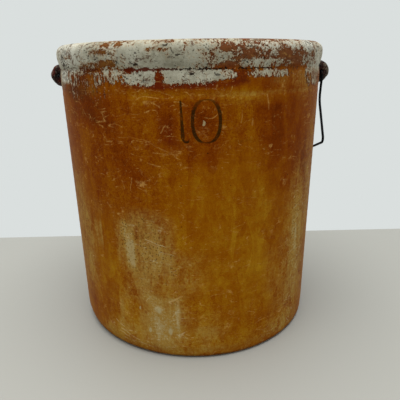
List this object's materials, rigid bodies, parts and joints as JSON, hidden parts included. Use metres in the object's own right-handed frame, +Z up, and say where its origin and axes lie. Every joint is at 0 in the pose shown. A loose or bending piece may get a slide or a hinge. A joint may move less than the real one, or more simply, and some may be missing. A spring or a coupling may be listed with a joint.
{
  "type": "storage crock",
  "caption": "Tall round stoneware storage crock with a rolled rim, barrel ears luted under the rim and a bent wire bail that swings in an ear's bore.",
  "frame": {"origin": "centre of the crock's base, on the surface that it stands on", "axes": "+Z up along the crock's axis, X through both ears with the bail on the +X side, -Y towards the front"},
  "size_m": [0.416, 0.3848, 0.417],
  "materials": {
    "glazed_stoneware": "aged glossy glaze under a worn brown film",
    "dark_glaze": "gloss",
    "bail_wire": "blackened steel wire"
  },
  "bodies": {
    "jar": {"crock": "glazed_stoneware", "left_ear": "dark_glaze", "right_ear": "dark_glaze"},
    "bail": {"bail": "bail_wire"}
  },
  "joints": [
    {"name": "bail_swing", "type": "hinge", "parent": "jar", "child": "bail", "pos_m": [0.195, 0, 0.3766], "axis": [0, -1, 0], "range_deg": [-2, 182]}
  ]
}
